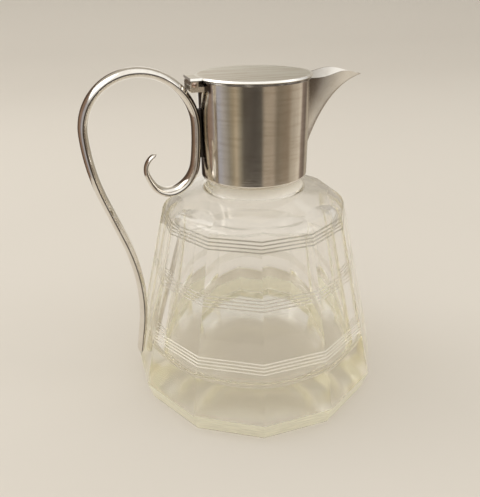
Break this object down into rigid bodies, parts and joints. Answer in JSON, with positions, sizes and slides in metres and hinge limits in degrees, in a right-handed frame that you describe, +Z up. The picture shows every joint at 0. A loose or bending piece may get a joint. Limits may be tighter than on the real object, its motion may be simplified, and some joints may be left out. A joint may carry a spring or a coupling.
{
  "type": "claret jug",
  "caption": "Faceted glass jug with cut bands, a plain metal collar, beak spout, scroll handle and a flat lid that turns on a pin hinge.",
  "frame": {"origin": "centre of the twelve-sided foot, on the table", "axes": "+Z up along the jug's axis; +X towards the spout; the handle and the hinge are on the -X side"},
  "size_m": [0.1714, 0.1538, 0.1946],
  "materials": {
    "cut_glass": "clear cut glass, faint yellow-green tint, fine grey cut lines",
    "cement": "dry plaster",
    "silver_plate": "polished silver plate, fine horizontal scratches, warm grey patina",
    "solder": "dull silver solder",
    "pin_metal": "worn rivet, plate rubbed through",
    "lid_plate": "satin silver plate with fine straight scratches"
  },
  "bodies": {
    "jug": {"glass_body": "cut_glass", "neck_cement": "cement", "collar": "silver_plate", "rim_bead": "silver_plate", "spout": "silver_plate", "handle": "silver_plate", "handle_solder": "solder", "hinge_bracket": "silver_plate", "hinge_pin": "pin_metal"},
    "lid": {"lid_plate": "lid_plate", "lid_knuckle": "silver_plate", "lid_bezel": "silver_plate"}
  },
  "joints": [
    {"name": "lid_hinge", "type": "hinge", "parent": "jug", "child": "lid", "pos_m": [-0.0346, 0, 0.1852], "axis": [0, -1, 0], "range_deg": [0, 82]}
  ]
}
